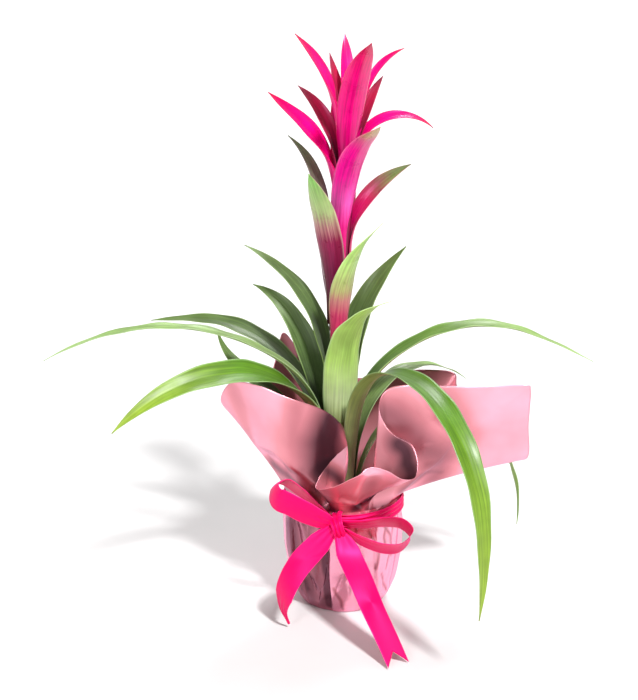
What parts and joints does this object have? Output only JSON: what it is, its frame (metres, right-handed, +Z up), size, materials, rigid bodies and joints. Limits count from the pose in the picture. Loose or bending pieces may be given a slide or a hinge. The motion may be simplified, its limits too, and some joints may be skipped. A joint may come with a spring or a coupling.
{
  "type": "potted bromeliad",
  "caption": "Potted bromeliad with strap leaves and a tall spike of bracts, its pot wrapped in one flared sheet and tied with a satin bow.",
  "frame": {"origin": "middle of the flat foot of the wrapped pot, on the surface it stands on", "axes": "+Z up along the flower spike, the longest way through the part; -Y is the front, where the bow is; +X is to the right as seen from the front"},
  "size_m": [0.5487, 0.3945, 0.5888],
  "materials": {
    "pot_plastic": "moulded polypropylene, slightly shiny",
    "soil": "moist potting soil, matte",
    "bract_pink": "waxy coloured leaf, satin",
    "bract_green": "waxy coloured leaf, satin",
    "leaf": "waxy ribbed leaf, satin",
    "wrap_sheet": "soft matte-satin wrapping sheet",
    "ribbon_satin": "single-faced satin"
  },
  "bodies": {
    "root": {"pot": "pot_plastic", "soil": "soil", "flower_spike": "bract_pink", "bract_left_dark": "bract_green", "bract_front_left": "bract_green", "bract_right": "bract_green", "bract_front_right": "bract_green", "bract_back": "bract_green", "leaf_left_upper": "leaf", "leaf_right_upper": "leaf", "leaf_front_upper": "leaf", "leaf_back_upper": "leaf", "leaf_left_wide": "leaf", "leaf_right_long": "leaf", "leaf_right_low": "leaf", "leaf_front_drooping": "leaf", "leaf_left_long": "leaf", "leaf_right_drooping": "leaf", "leaf_left_back": "leaf", "leaf_left_front": "leaf", "leaf_back_low": "leaf", "leaf_left_turned": "leaf", "wrap": "wrap_sheet", "ribbon": "ribbon_satin"}
  },
  "joints": []
}
